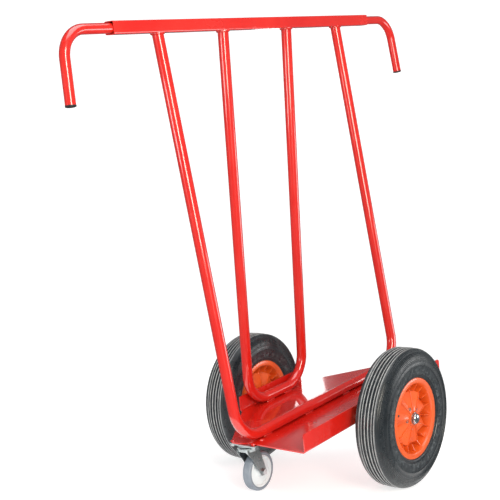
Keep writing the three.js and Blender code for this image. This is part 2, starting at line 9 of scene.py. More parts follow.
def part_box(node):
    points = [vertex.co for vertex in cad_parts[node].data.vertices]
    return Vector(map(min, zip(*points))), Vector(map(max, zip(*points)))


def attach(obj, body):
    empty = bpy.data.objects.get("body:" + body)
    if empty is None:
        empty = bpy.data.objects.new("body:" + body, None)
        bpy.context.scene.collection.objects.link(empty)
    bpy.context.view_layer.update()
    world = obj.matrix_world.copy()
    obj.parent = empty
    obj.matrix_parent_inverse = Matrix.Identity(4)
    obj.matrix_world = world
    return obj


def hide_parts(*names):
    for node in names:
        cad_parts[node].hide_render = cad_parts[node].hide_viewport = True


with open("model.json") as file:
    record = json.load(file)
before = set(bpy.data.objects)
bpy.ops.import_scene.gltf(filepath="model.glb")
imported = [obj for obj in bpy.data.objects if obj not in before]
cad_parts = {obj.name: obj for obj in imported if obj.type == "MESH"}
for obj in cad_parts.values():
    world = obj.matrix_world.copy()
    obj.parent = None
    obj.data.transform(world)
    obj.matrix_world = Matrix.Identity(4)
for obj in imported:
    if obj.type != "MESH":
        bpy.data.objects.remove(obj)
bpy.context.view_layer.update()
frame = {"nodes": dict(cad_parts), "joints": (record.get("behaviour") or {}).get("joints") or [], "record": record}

# A red sheet-material cart: metres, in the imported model's own frame.
# The cart leans about its axle, so most pieces are made in the cart's upright frame,
# whose origin is the middle of the axle, and CART places them.

JOINT = {joint["name"]: joint for joint in frame["joints"]}
AXLE = Vector(JOINT["near_wheel_spin"]["pos_m"])
SWIVEL_UP = Vector(JOINT["caster_turn"]["axis"])
LEAN = math.atan2(-SWIVEL_UP.x, SWIVEL_UP.z)
CART = Matrix.Translation((AXLE.x, 0, AXLE.z)) @ Matrix.Rotation(-LEAN, 4, "Y")

# Base plate
FRAME_X = -0.010
SHEET = 0.0035
PLATE_TOP = 0.0142
PLATE_BOTTOM = PLATE_TOP - SHEET
PLATE_FRONT = -0.1985
PLATE_REAR = 0.193
PLATE_HALF = 0.374
EAR_HALF = 0.388
EAR_Y = 0.028
REAR_HALF = 0.158
LIP_TOP = 0.065
FLANGE_TOP = 0.056
FOLD = 0.007
LIP_CORNER = 0.009

# Tubes
HOOP_R = 0.0155
HOOP_Z = 0.030
HOOP_BEND = 0.090
BAR_Y = 0.1225
BAR_Z = 1.1515
BAR_HALF = 0.595
BAR_HEIGHT = 0.034
BAR_DEPTH = 0.032
BAR_CORNER = 0.0045
WALL = 0.002
HANDLE_R = 0.0135
HANDLE_BEND = 0.075
HANDLE_DROP_X = 0.754
HANDLE_END_Z = 0.973
HANDLE_SPLAY = 0.0135
HANDLE_RAKE = 0.016

# Welds
STITCH_R = 0.0028
STITCH_HALF = 0.018
BAR_WELD_R = 0.0036
BEAD_SIDES = 10

# Wheels
TRACK_HALF = abs(AXLE.y)
TYRE_R = AXLE.z
TREAD_RIBS = (0.0053, 0.0158)
TREAD_DEPTH = 0.0036
SHOULDER_RINGS = 12
SHOULDER_RING_RISE = 0.0012
RIM_R = 0.116
RIM_FACE = 0.042
HUB_FACE = 0.037
RIM_PLEATS = 9
RIM_TURNS = 144
RIM_PHASE = math.radians(19)
SCREWS = 5
SCREW_CIRCLE = 0.030
SCREW_PHASE = math.radians(48)
VALVE_PHASE = math.radians(169)
VALVE_LEAN = math.radians(64)

# (radius, y) outlines of the rim's ribs: in the channel, and along a pleat's ridge
FIN_OUTLINE = [
    (0.0775, 0.0050), (0.0955, 0.0050), (0.0985, 0.0320),
    (0.0970, 0.0335), (0.0800, 0.0262), (0.0775, 0.0258),
]
RIDGE_OUTLINE = [
    (0.0215, 0.0300), (0.0775, 0.0240), (0.0788, 0.0275),
    (0.0780, 0.0292), (0.0215, 0.0362),
]
FIN_HALF = 0.0011

# Caster
CASTER = Vector((-0.370, 0.007, PLATE_BOTTOM))
TRAIL = 0.034
CASTER_R = 0.0555
CASTER_AXLE_Z = CASTER_R - 0.151
FORK_TOP = -0.0106
CHEEK_Y = 0.019
CHEEK_HALF = 0.0015
CASTER_PLACE = CART @ Matrix.Translation(CASTER)

CAD_EDGE = 0.0005


# ---------------------------------------------------------------- mesh helpers

def finish_piece(name, bm, body, material, replaces=(), place=CART, sharp=28):
    """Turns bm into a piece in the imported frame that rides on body."""
    bm.transform(place)
    bmesh.ops.recalc_face_normals(bm, faces=bm.faces)
    for face in bm.faces:
        face.smooth = True
    for edge in bm.edges:
        edge.smooth = edge.calc_face_angle(0) < math.radians(sharp)
    mesh = bpy.data.meshes.new(name)
    bm.to_mesh(mesh)
    bm.free()
    mesh.materials.append(material)
    piece = bpy.data.objects.new(name, mesh)
    bpy.context.scene.collection.objects.link(piece)
    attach(piece, body)
    if replaces:
        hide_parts(*replaces)
    return piece


def loft(bm, rings, wrap=True):
    """Joins closed rings of vertices, one after the other; a ring of one vertex is a point."""
    for before, after in zip(rings, rings[1:]):
        count = max(len(before), len(after))
        for i in range(count if wrap else count - 1):
            j = (i + 1) % count
            if len(before) == 1:
                bm.faces.new((before[0], after[j], after[i]))
            elif len(after) == 1:
                bm.faces.new((before[i], before[j], after[0]))
            else:
                bm.faces.new((before[i], before[j], after[j], after[i]))


def close_sheets(bm, outer, inner):
    """A solid sheet from two grids of vertices of one shape: both faces and the four edges."""
    loft(bm, outer, wrap=False)
    loft(bm, inner, wrap=False)
    for rows_a, rows_b in zip(zip(outer, outer[1:]), zip(inner, inner[1:])):
        for k in (0, -1):
            bm.faces.new((rows_a[0][k], rows_a[1][k], rows_b[1][k], rows_b[0][k]))
    for k in (0, -1):
        for i in range(len(outer[k]) - 1):
            bm.faces.new((outer[k][i], outer[k][i + 1], inner[k][i + 1], inner[k][i]))


def lathe(bm, profile, segments, closed=False, place=Matrix.Identity(4)):
    """Turns a [radius, y] profile about the Y axis."""
    rings = []
    for radius, y in profile:
        if radius < 1e-7:
            rings.append([bm.verts.new(place @ Vector((0, y, 0)))])
            continue
        ring = []
        for i in range(segments):
            turn = 2 * math.pi * i / segments
            point = Vector((radius * math.sin(turn), y, radius * math.cos(turn)))
            ring.append(bm.verts.new(place @ point))
        rings.append(ring)
    if closed:
        rings.append(rings[0])
    loft(bm, rings)


def rounded(points, radius, steps, closed=True):
    """The polyline with each corner turned into an arc of about radius."""
    out = []
    count = len(points)
    for i, point in enumerate(points):
        here = Vector(point)
        if not closed and i in (0, count - 1):
            out.append(here)
            continue
        back = Vector(points[i - 1]) - here
        ahead = Vector(points[(i + 1) % count]) - here
        corner = back.angle(ahead, math.pi)
        reach = min(radius / math.tan(corner / 2), back.length * 0.45, ahead.length * 0.45)
        start = here + back.normalized() * reach
        end = here + ahead.normalized() * reach
        for k in range(steps + 1):
            t = k / steps
            out.append(start * (1 - t) ** 2 + here * 2 * t * (1 - t) + end * t * t)
    return out


def prism(bm, outline, low, high, place, edge):
    """A plate of the closed 2-D outline from low to high along Z, its edges chamfered by edge."""
    levels = [(low, edge), (low + edge, 0), (high - edge, 0), (high, edge)]
    centre = sum((Vector(p) for p in outline), Vector((0, 0))) / len(outline)
    rings = []
    for z, inset in levels:
        ring = []
        for point in outline:
            p = Vector(point)
            p = p + (centre - p).normalized() * inset
            ring.append(bm.verts.new(place @ Vector((p.x, p.y, z))))
        rings.append(ring)
    loft(bm, rings)
    bm.faces.new(rings[0])
    bm.faces.new(rings[-1])


def path_stations(corners, radius, steps):
    """Points and directions along straight runs joined by round bends."""
    corners = [Vector(c) for c in corners]
    stations = [(corners[0], (corners[1] - corners[0]).normalized())]
    for before, corner, after in zip(corners, corners[1:], corners[2:]):
        into = (corner - before).normalized()
        out = (after - corner).normalized()
        turn = into.angle(out)
        start = corner - into * radius * math.tan(turn / 2)
        inward = (out - into * into.dot(out)).normalized()
        for i in range(steps + 1):
            angle = turn * i / steps
            point = start + into * radius * math.sin(angle) + inward * radius * (1 - math.cos(angle))
            stations.append((point, into * math.cos(angle) + inward * math.sin(angle)))
    stations.append((corners[-1], (corners[-1] - corners[-2]).normalized()))
    return stations


def densify(stations, longest):
    """Extra stations along straight runs, so that no run is longer than longest."""
    out = [stations[0]]
    for (a, _), (b, direction) in zip(stations, stations[1:]):
        pieces = max(1, math.ceil((b - a).length / longest))
        for i in range(1, pieces):
            out.append((a.lerp(b, i / pieces), direction))
        out.append((b, direction))
    return out


def circle(bm, centre, side, other, radius, sides):
    """A ring of vertices about centre, in the plane of the directions side and other."""
    turns = [2 * math.pi * i / sides for i in range(sides)]
    return [bm.verts.new(centre + (side * math.cos(t) + other * math.sin(t)) * radius) for t in turns]


def sweep(bm, stations, radius, sides, inner=None):
    """A round tube along the stations. inner, where given, is a bore's radius, open at both ends."""
    side = stations[0][1].orthogonal().normalized()
    outer_rings, inner_rings = [], []
    for point, direction in stations:
        side = (side - direction * side.dot(direction)).normalized()
        other = direction.cross(side)
        outer_rings.append(circle(bm, point, side, other, radius, sides))
        if inner:
            inner_rings.append(circle(bm, point, side, other, inner, sides))
    loft(bm, outer_rings)
    if inner:
        loft(bm, inner_rings)
        loft(bm, [outer_rings[0], inner_rings[0]])
        loft(bm, [outer_rings[-1], inner_rings[-1]])
    else:
        bm.faces.new(outer_rings[0])
        bm.faces.new(outer_rings[-1])


def bead(bm, points, radius, ripple):
    """A weld bead: a thin tube along points whose thickness ripples and fades at both ends."""
    stations = []
    for i, point in enumerate(points):
        ahead = points[min(i + 1, len(points) - 1)]
        behind = points[max(i - 1, 0)]
        stations.append((point, (ahead - behind).normalized()))
    side = Vector((0, 0, 1))
    rings = []
    last = len(stations) - 1
    for i, (point, direction) in enumerate(stations):
        side = (side - direction * side.dot(direction)).normalized()
        other = direction.cross(side)
        fade = min(1, 0.45 + i * 0.4, 0.45 + (last - i) * 0.4)
        size = radius * (1 + ripple * math.sin(i * 2.1)) * fade
        rings.append(circle(bm, point, side, other, size, BEAD_SIDES))
    loft(bm, rings)
    bm.faces.new(rings[0])
    bm.faces.new(rings[-1])


# ------------------------------------------------------------------- materials

class Shader:
    """A Principled material with procedural detail in object coordinates, in metres."""

    def __init__(self, name, **constants):
        self.material = bpy.data.materials.new(name)
        self.material.use_nodes = True
        self.tree = self.material.node_tree
        self.bsdf = self.tree.nodes["Principled BSDF"]
        for socket, value in constants.items():
            self.bsdf.inputs[socket.replace("_", " ")].default_value = value
        self.coordinates = self.add("ShaderNodeTexCoord").outputs["Object"]

    def add(self, kind, **settings):
        node = self.tree.nodes.new(kind)
        for key, value in settings.items():
            setattr(node, key, value)
        return node

    def link(self, output, socket):
        self.tree.links.new(output, socket)

    def noise(self, scale, detail=2, roughness=0.5, stretch=None):
        texture = self.add("ShaderNodeTexNoise")
        texture.inputs["Scale"].default_value = scale
        texture.inputs["Detail"].default_value = detail
        texture.inputs["Roughness"].default_value = roughness
        source = self.coordinates
        if stretch:
            mapping = self.add("ShaderNodeMapping")
            mapping.inputs["Scale"].default_value = stretch
            self.link(source, mapping.inputs["Vector"])
            source = mapping.outputs["Vector"]
        self.link(source, texture.inputs["Vector"])
        return texture.outputs["Fac"]

    def spread(self, factor, low, high, start=0.3, end=0.7):
        """Maps a factor to the range low to high."""
        node = self.add("ShaderNodeMapRange")
        node.inputs["From Min"].default_value = start
        node.inputs["From Max"].default_value = end
        node.inputs["To Min"].default_value = low
        node.inputs["To Max"].default_value = high
        self.link(factor, node.inputs["Value"])
        return node.outputs["Result"]

    def colours(self, factor, *stops):
        """stops: (place, colour) pairs."""
        ramp = self.add("ShaderNodeValToRGB")
        elements = ramp.color_ramp.elements
        while len(elements) < len(stops):
            elements.new(0.5)
        for element, (place, colour) in zip(elements, stops):
            element.position = place
            element.color = (*colour, 1)
        self.link(factor, ramp.inputs["Fac"])
        return ramp.outputs["Color"]

    def base(self, output):
        self.link(output, self.bsdf.inputs["Base Color"])
        return self

    def rough(self, output):
        self.link(output, self.bsdf.inputs["Roughness"])
        return self

    def bump(self, *layers):
        """layers: (height, strength, distance), each added on the one before."""
        normal = None
        for height, strength, distance in layers:
            node = self.add("ShaderNodeBump")
            node.inputs["Strength"].default_value = strength
            node.inputs["Distance"].default_value = distance
            self.link(height, node.inputs["Height"])
            if normal:
                self.link(normal, node.inputs["Normal"])
            normal = node.outputs["Normal"]
        self.link(normal, self.bsdf.inputs["Normal"])
        return self


def make_red_paint():
    """Glossy enamel: faint unevenness in tone and gloss, and a low, slow waviness."""
    s = Shader("red_enamel", IOR=1.5, Coat_Weight=1.0, Coat_Roughness=0.06, Coat_IOR=1.6)
    tone = s.noise(7.0, 3)
    s.base(s.colours(tone, (0.25, (0.50, 0.008, 0.005)), (0.75, (0.57, 0.014, 0.007))))
    s.rough(s.spread(s.noise(14.0, 2), 0.20, 0.28))
    s.bump((s.noise(20.0, 1), 0.05, 0.0006))
    return s.material


def make_tyre_rubber():
    """Dusty black rubber, with a painted highlight in pale grey on the tops of the tread's ribs, and a lighter
    mottled band by the rim.
    """
    s = Shader("tyre_rubber", IOR=1.52, Sheen_Weight=0.15, Sheen_Roughness=0.4)
    dust = s.noise(18.0, 5, 0.7)
    black = s.colours(
        dust,
        (0.3, (0.006, 0.009, 0.012)),
        (0.6, (0.012, 0.017, 0.021)),
        (0.85, (0.060, 0.072, 0.078)),
    )
    # Pale grey on the ribs' tops, where the radius nears the tyre's: a painted highlight.
    painted_crown_highlight = s.colours(s.noise(60.0, 4), (0.3, (0.20, 0.21, 0.22)), (0.7, (0.36, 0.37, 0.37)))
    offset = s.add("ShaderNodeVectorMath", operation="SUBTRACT")
    offset.inputs[1].default_value = AXLE
    s.link(s.coordinates, offset.inputs[0])
    flat = s.add("ShaderNodeVectorMath", operation="MULTIPLY")
    flat.inputs[1].default_value = (1, 0, 1)
    s.link(offset.outputs[0], flat.inputs[0])
    radius = s.add("ShaderNodeVectorMath", operation="LENGTH")
    s.link(flat.outputs[0], radius.inputs[0])
    crown = s.spread(radius.outputs["Value"], 0, 1, TYRE_R - 0.0018, TYRE_R - 0.0009)
    mix = s.add("ShaderNodeMix", data_type="RGBA")
    s.link(crown, mix.inputs["Factor"])
    s.link(black, mix.inputs[6])
    s.link(painted_crown_highlight, mix.inputs[7])
    # A lighter mottled grey band on the sidewall by the rim.
    band = s.add("ShaderNodeMath", operation="MULTIPLY")
    s.link(s.spread(radius.outputs["Value"], 0, 1, 0.126, 0.130), band.inputs[0])
    s.link(s.spread(radius.outputs["Value"], 1, 0, 0.140, 0.152), band.inputs[1])
    mottled_band_mask = s.add("ShaderNodeMath", operation="MULTIPLY")
    s.link(band.outputs[0], mottled_band_mask.inputs[0])
    s.link(s.spread(s.noise(85.0, 5, 0.75), 0, 0.8, 0.50, 0.72), mottled_band_mask.inputs[1])
    mottled_band_mix = s.add("ShaderNodeMix", data_type="RGBA")
    mottled_band_mix.inputs[7].default_value = (0.15, 0.17, 0.18, 1)
    s.link(mottled_band_mask.outputs[0], mottled_band_mix.inputs["Factor"])
    s.link(mix.outputs[2], mottled_band_mix.inputs[6])
    s.base(mottled_band_mix.outputs[2])
    s.rough(s.spread(s.noise(70.0, 4, 0.6), 0.22, 0.42))
    s.bump((s.noise(900.0, 3, 0.6), 0.12, 0.0003))
    return s.material


def make_rim_plastic():
    """Semi-gloss moulded plastic, a little uneven in tone."""
    s = Shader("rim_plastic", IOR=1.49, Specular_IOR_Level=0.55, Coat_Weight=0.6, Coat_Roughness=0.12)
    tone = s.noise(22.0, 3)
    s.base(s.colours(tone, (0.3, (0.60, 0.070, 0.007)), (0.7, (0.70, 0.098, 0.012))))
    s.rough(s.spread(s.noise(140.0, 4, 0.6), 0.26, 0.42))
    s.bump((s.noise(1300.0, 2), 0.05, 0.0002))
    return s.material


def make_zinc(name, shade):
    """Zinc plate: pale spangle and faint rolling marks. shade darkens the metal: below 1 it is painted shade."""
    s = Shader(name, Metallic=1.0)
    spangle = s.add("ShaderNodeTexVoronoi")
    spangle.inputs["Scale"].default_value = 190.0
    s.link(s.coordinates, spangle.inputs["Vector"])
    dark = tuple(shade * c for c in (0.46, 0.51, 0.52))
    light = tuple(shade * c for c in (0.60, 0.65, 0.66))
    s.base(s.colours(spangle.outputs["Distance"], (0.0, dark), (0.8, light)))
    s.rough(s.spread(s.noise(60.0, 4, 0.7), 0.22, 0.42))
    s.bump((s.noise(420.0, 2), 0.05, 0.0003))
    return s.material


def make_bright_steel():
    """Turned, plated steel with fine rings."""
    s = Shader("bright_steel", Metallic=1.0)
    marks = s.noise(1.0, 2, 0.5, stretch=(60, 3200, 60))
    s.base(s.colours(marks, (0.3, (0.60, 0.61, 0.62)), (0.7, (0.76, 0.77, 0.78))))
    s.rough(s.spread(s.noise(80.0, 3), 0.18, 0.32))
    s.bump((marks, 0.06, 0.0002))
    return s.material


def make_grey_rubber():
    """Satin, non-marking rubber."""
    s = Shader("grey_rubber", IOR=1.5)
    tone = s.noise(40.0, 4, 0.6)
    s.base(s.colours(tone, (0.3, (0.16, 0.19, 0.23)), (0.7, (0.22, 0.25, 0.29))))
    s.rough(s.spread(s.noise(200.0, 3), 0.42, 0.6))
    s.bump((s.noise(1100.0, 3), 0.1, 0.0002))
    return s.material


def make_white_plastic():
    """Off-white moulded plastic."""
    s = Shader("white_plastic", IOR=1.49)
    tone = s.noise(30.0, 3)
    s.base(s.colours(tone, (0.3, (0.58, 0.63, 0.66)), (0.7, (0.66, 0.70, 0.72))))
    s.rough(s.spread(s.noise(160.0, 3), 0.28, 0.44))
    s.bump((s.noise(800.0, 2), 0.05, 0.0002))
    return s.material


def make_black_plastic():
    """Fine-textured black plastic."""
    s = Shader("black_plastic", IOR=1.49)
    tone = s.noise(50.0, 3)
    s.base(s.colours(tone, (0.3, (0.012, 0.012, 0.013)), (0.7, (0.022, 0.022, 0.024))))
    s.rough(s.spread(s.noise(260.0, 3), 0.38, 0.55))
    s.bump((s.noise(1500.0, 2), 0.12, 0.0002))
    return s.material


RED = make_red_paint()
TYRE = make_tyre_rubber()
ORANGE = make_rim_plastic()
ZINC = make_zinc("zinc_plate", 1.0)
# A half-bright copy of the zinc: painted shade, for the fork's cheeks.
SHADED_ZINC = make_zinc("painted_shade_zinc", 0.5)
STEEL = make_bright_steel()
GREY = make_grey_rubber()
WHITE = make_white_plastic()
BLACK = make_black_plastic()


# ------------------------------------------------------------------ base plate

def arc(steps):
    """Angles from 0 to a right angle."""
    return [math.pi / 2 * i / steps for i in range(steps + 1)]


def sheet_section():
    """(y, z, outward normal y, z, half width) along the folded sheet, from lip to rear flange."""
    out = []
    corner = [LIP_CORNER * (1 - math.cos(a)) for a in arc(6)]
    for drop in corner + [0.022, 0.035]:
        inset = LIP_CORNER - math.sqrt(max(0, LIP_CORNER**2 - max(0, LIP_CORNER - drop) ** 2))
        out.append((PLATE_FRONT, LIP_TOP - drop, -1, 0, PLATE_HALF - inset))
    for a in arc(7):
        y = PLATE_FRONT + FOLD - FOLD * math.cos(a)
        z = PLATE_BOTTOM + FOLD - FOLD * math.sin(a)
        out.append((y, z, -math.cos(a), -math.sin(a), PLATE_HALF))
    for y, half in floor_outline():
        out.append((y, PLATE_BOTTOM, 0, -1, half))
    for a in arc(7):
        y = PLATE_REAR - FOLD + FOLD * math.sin(a)
        z = PLATE_BOTTOM + FOLD - FOLD * math.cos(a)
        out.append((y, z, math.sin(a), -math.cos(a), REAR_HALF))
    for rise in (0.018, 0.030, 0.040, 0.0445, FLANGE_TOP - PLATE_BOTTOM):
        out.append((PLATE_REAR, PLATE_BOTTOM + rise, 1, 0, REAR_HALF))
    return out


def floor_outline():
    """(y, half width) of the flat floor: straight ends, a rounded ear, then a taper to the rear."""
    corners = [
        (-0.180, PLATE_HALF),
        (EAR_Y - 0.036, PLATE_HALF),
        (EAR_Y - 0.008, EAR_HALF),
        (EAR_Y + 0.014, EAR_HALF),
        (PLATE_REAR - FOLD - 0.002, REAR_HALF),
    ]
    points = rounded(corners, 0.014, 6, closed=False)
    return [(p.x, p.y) for p in points]


def make_base_plate():
    """The folded sheet, its rims rounded."""
    bm = bmesh.new()
    stations = sheet_section()
    columns = [-1, -0.9995, -0.75, -0.5, -0.25, 0, 0.25, 0.5, 0.75, 0.9995, 1]
    outer, inner = [], []
    for y, z, ny, nz, half in stations:
        for rows, offset in ((outer, 0), (inner, SHEET)):
            row = [bm.verts.new((FRAME_X + half * u, y - ny * offset, z - nz * offset)) for u in columns]
            rows.append(row)
    close_sheets(bm, outer, inner)
    rims = [e for e in bm.edges if e.calc_face_angle(0) > math.radians(60)]
    bmesh.ops.bevel(bm, geom=rims, offset=0.0006, segments=2, profile=0.6, affect="EDGES")
    finish_piece("tray", bm, "frame", RED, ["base_plate"])


def stitch(bm, start, end):
    """A straight weld bead."""
    start, end = Vector(start), Vector(end)
    count = max(4, round((end - start).length / 0.0022))
    bead(bm, [start.lerp(end, i / count) for i in range(count + 1)], STITCH_R, 0.16)


def make_floor_welds():
    """Short weld beads where the hoops' bottom runs stand on the floor."""
    bm = bmesh.new()
    z = PLATE_TOP + 0.0012
    for hoop_y, places in ((-0.013, (-0.30, -0.10, 0.10, 0.30)), (0.169, (-0.045, 0.045))):
        for side in (-1, 1):
            for x in places:
                y = hoop_y + side * 0.0075
                stitch(bm, (FRAME_X + x - STITCH_HALF, y, z), (FRAME_X + x + STITCH_HALF, y, z))
    finish_piece("floor_welds", bm, "frame", RED)


# ----------------------------------------------------------------------- tubes

def make_hoop(name, y, bottom_half, top_half):
    """A U of round tube from the bar down to the floor and up again. Returns its two tops."""
    top = BAR_Z - BAR_HEIGHT / 2
    corners = [
        (FRAME_X - top_half, BAR_Y, top),
        (FRAME_X - bottom_half, y, HOOP_Z),
        (FRAME_X + bottom_half, y, HOOP_Z),
        (FRAME_X + top_half, BAR_Y, top),
    ]
    bm = bmesh.new()
    stations = densify(path_stations(corners, HOOP_BEND, 20), 0.12)
    sweep(bm, stations, HOOP_R, 36)
    finish_piece(name + "_tube", bm, "frame", RED, [name])
    return [corners[0], corners[-1]]


def make_bar_welds(tops):
    """A ripple-edged fillet round each upright, where it meets the bar."""
    bm = bmesh.new()
    for x, y, z in tops:
        ring = []
        for i in range(64):
            turn = 2 * math.pi * i / 64
            reach = HOOP_R + 0.0006
            offset = Vector((reach * math.cos(turn), reach * math.sin(turn), -0.0006))
            ring.append(Vector((x, y, z)) + offset)
        bead(bm, ring + ring[:2], BAR_WELD_R, 0.10)
    finish_piece("bar_welds", bm, "frame", RED)


def bar_loop(inset, corner):
    """The bar's section, made smaller by inset."""
    half_y = BAR_DEPTH / 2 - inset
    half_z = BAR_HEIGHT / 2 - inset
    corners = [(-half_y, -half_z), (half_y, -half_z), (half_y, half_z), (-half_y, half_z)]
    return rounded(corners, corner, 5)


def make_bar():
    """A box tube with round corners, open at both ends."""
    bm = bmesh.new()
    edge = 0.0005
    outside = bar_loop(0, BAR_CORNER)
    rim = bar_loop(edge, BAR_CORNER - edge)
    inside = bar_loop(WALL, BAR_CORNER - WALL)
    places = [BAR_HALF * k / 8 for k in range(-7, 8)]
    places = [-BAR_HALF + edge] + places + [BAR_HALF - edge]

    def ring(loop, x):
        return [bm.verts.new((FRAME_X + x, BAR_Y + p.x, BAR_Z + p.y)) for p in loop]

    start, end = ring(rim, -BAR_HALF), ring(rim, BAR_HALF)
    bore = [ring(inside, -BAR_HALF), ring(inside, BAR_HALF)]
    loft(bm, [bore[0], start] + [ring(outside, x) for x in places] + [end, bore[1]])
    loft(bm, bore)
    finish_piece("bar_tube", bm, "frame", RED, ["top_bar"])


def make_handle(side, name):
    """A bent tube that starts inside the bar, and the plug in its open end."""
    z = BAR_Z - 0.0006
    start = (FRAME_X + side * (BAR_HALF - 0.09), BAR_Y, z)
    corner = (FRAME_X + side * HANDLE_DROP_X, BAR_Y, z)
    end_x = FRAME_X + side * (HANDLE_DROP_X + HANDLE_SPLAY)
    end = (end_x, BAR_Y - HANDLE_RAKE, HANDLE_END_Z)
    bm = bmesh.new()
    stations = densify(path_stations([start, corner, end], HANDLE_BEND, 22), 0.03)
    sweep(bm, stations, HANDLE_R, 36, inner=HANDLE_R - WALL)
    finish_piece(name + "_handle_tube", bm, "frame", RED, [name + "_handle"])

    down = (Vector(end) - Vector(corner)).normalized()
    aim = down.to_track_quat("Y", "Z").to_matrix().to_4x4()
    place = Matrix.Translation(Vector(end) + down * 0.0003) @ aim
    stem = HANDLE_R - WALL - 0.0008
    head = HANDLE_R + 0.0006
    profile = [(0, -0.026), (stem - 0.001, -0.026), (stem, -0.024), (stem, 0)]
    profile += [(head - 0.0004, 0), (head, 0.0005), (head, 0.0026)]
    profile += [(head * 0.93, 0.0042), (head * 0.7, 0.0054), (head * 0.35, 0.0059), (0, 0.006)]
    bm = bmesh.new()
    lathe(bm, profile, 40, place=place)
    plug = name + "_handle_plug"
    finish_piece(name + "_handle_end", bm, "frame", BLACK, [plug])


# ---------------------------------------------------------------------- wheels

def tyre_half_profile():
    """(radius, y) from the tread's middle over the shoulder and sidewall to the bead and back inside."""
    valley = TYRE_R - TREAD_DEPTH
    out = [(valley, 0.0)]
    for rib in TREAD_RIBS:
        crown = TYRE_R - 0.0007 * (rib > 0.01)
        out += [
            (valley, rib - 0.0026),
            (crown - 0.0008, rib - 0.0014),
            (crown, rib - 0.0009),
            (crown, rib + 0.0009),
            (crown - 0.0008, rib + 0.0014),
            (valley, rib + 0.0026),
        ]
    step = math.radians(90) / SHOULDER_RINGS
    for i in range(1, SHOULDER_RINGS):
        for share, raised in ((-0.30, False), (-0.12, True), (0.12, True), (0.30, False)):
            t = step * (i + share)
            rise = SHOULDER_RING_RISE * math.sin(t) * raised
            radius = 0.164 + (0.0352 + rise) * math.cos(t)
            y = 0.0205 + (0.0264 + rise) * math.sin(t)
            out.append((radius, y))
    out += [(0.1635, 0.0470), (0.1560, 0.0469)]
    out += [(0.1552, 0.0475), (0.1532, 0.0475), (0.1524, 0.0467)]
    out += [(0.1450, 0.0464), (0.1370, 0.0456), (0.1300, 0.0446)]
    out += [(0.1292, 0.0454), (0.1262, 0.0452), (0.1252, 0.0438), (0.1210, 0.0434), (0.1184, 0.0428)]
    out += [(0.1172, 0.0415), (0.1168, 0.0385), (0.1120, 0.0350), (0.1046, 0.0312), (0.1046, 0.0225)]
    out += [(0.1400, 0.0370), (0.1700, 0.0375), (0.1880, 0.0260), (0.1905, 0.0)]
    return out


def mirrored(half):
    """The closed (radius, y) profile of a half and its mirror image in y."""
    return half + [(r, -y) for r, y in reversed(half[1:-1])]


def wheel_place(side):
    return Matrix.Translation((AXLE.x, side * TRACK_HALF, AXLE.z))


def make_tyre(side, name):
    """The casing of one big wheel, side -1 near and 1 far."""
    bm = bmesh.new()
    lathe(bm, mirrored(tyre_half_profile()), 176, closed=True)
    piece, node, body = name + "_tyre_casing", name + "_tyre", name + "_wheel"
    finish_piece(piece, bm, body, TYRE, [node], wheel_place(side), 40)


def rim_face_rings():
    """(radius, y in a valley, y on a ridge) over the rim's face from hub to flange, and back behind."""
    out = [(0.0136, 0.0002, 0.0002), (0.0136, 0.0366, 0.0366), (0.0140, HUB_FACE, HUB_FACE)]
    out += [(0.0203, HUB_FACE, HUB_FACE), (0.0210, 0.0364, 0.0364), (0.0214, 0.0338, 0.0345)]
    for i in range(1, 12):
        t = i / 11
        out.append((0.0214 + 0.0566 * t, 0.0335 - 0.0215 * t, 0.0345 - 0.0070 * t))
    out += [(0.0786, 0.0112, 0.0270), (0.0790, 0.0090, 0.0256), (0.0794, 0.0060, 0.0060)]
    out += [(0.0936, 0.0060, 0.0060), (0.0946, 0.0068, 0.0068), (0.0980, 0.0340, 0.0340)]
    out += [(0.0990, 0.0376, 0.0376), (0.1008, 0.0408, 0.0408), (0.1030, RIM_FACE, RIM_FACE)]
    out += [(0.1140, RIM_FACE, RIM_FACE), (0.1154, 0.0415, 0.0415), (RIM_R, 0.0402, 0.0402)]
    out += [(RIM_R, 0.0384, 0.0384), (0.1080, 0.0352, 0.0352), (0.1020, 0.0320, 0.0320)]
    out += [(0.1016, 0.0002, 0.0002)]
    return out


def make_rim_half(side, name, facing):
    """facing is +1 or -1: the half's outer face looks along that way of Y."""
    bm = bmesh.new()
    rings = []
    for radius, valley, ridge in rim_face_rings():
        ring = []
        for i in range(RIM_TURNS):
            phase = i * RIM_PLEATS / RIM_TURNS % 1
            share = abs(2 * phase - 1)
            turn = RIM_PHASE + 2 * math.pi * i / RIM_TURNS
            y = facing * (valley + (ridge - valley) * share)
            ring.append(bm.verts.new((radius * math.cos(turn), y, radius * math.sin(turn))))
        rings.append(ring)
    loft(bm, rings + [rings[0]])
    for k in range(2 * RIM_PLEATS):
        add_rim_fin(bm, RIM_PHASE + math.pi * k / RIM_PLEATS, facing, FIN_OUTLINE)
    for k in range(RIM_PLEATS):
        add_rim_fin(bm, RIM_PHASE + 2 * math.pi * k / RIM_PLEATS, facing, RIDGE_OUTLINE)
    layer = "outer" if facing == side else "inner"
    node, body = f"{name}_rim_{layer}", name + "_wheel"
    finish_piece(node + "_dish", bm, body, ORANGE, [node], wheel_place(side), 22)


def add_rim_fin(bm, angle, facing, outline):
    """A thin radial rib of the outline's shape, standing on the rim's outer face."""
    turn = Matrix.Rotation(-angle, 4, "Y")
    flip = Matrix.Scale(facing, 4, (0, 1, 0))
    prism(bm, outline, -FIN_HALF, FIN_HALF, turn @ flip, 0.0004)


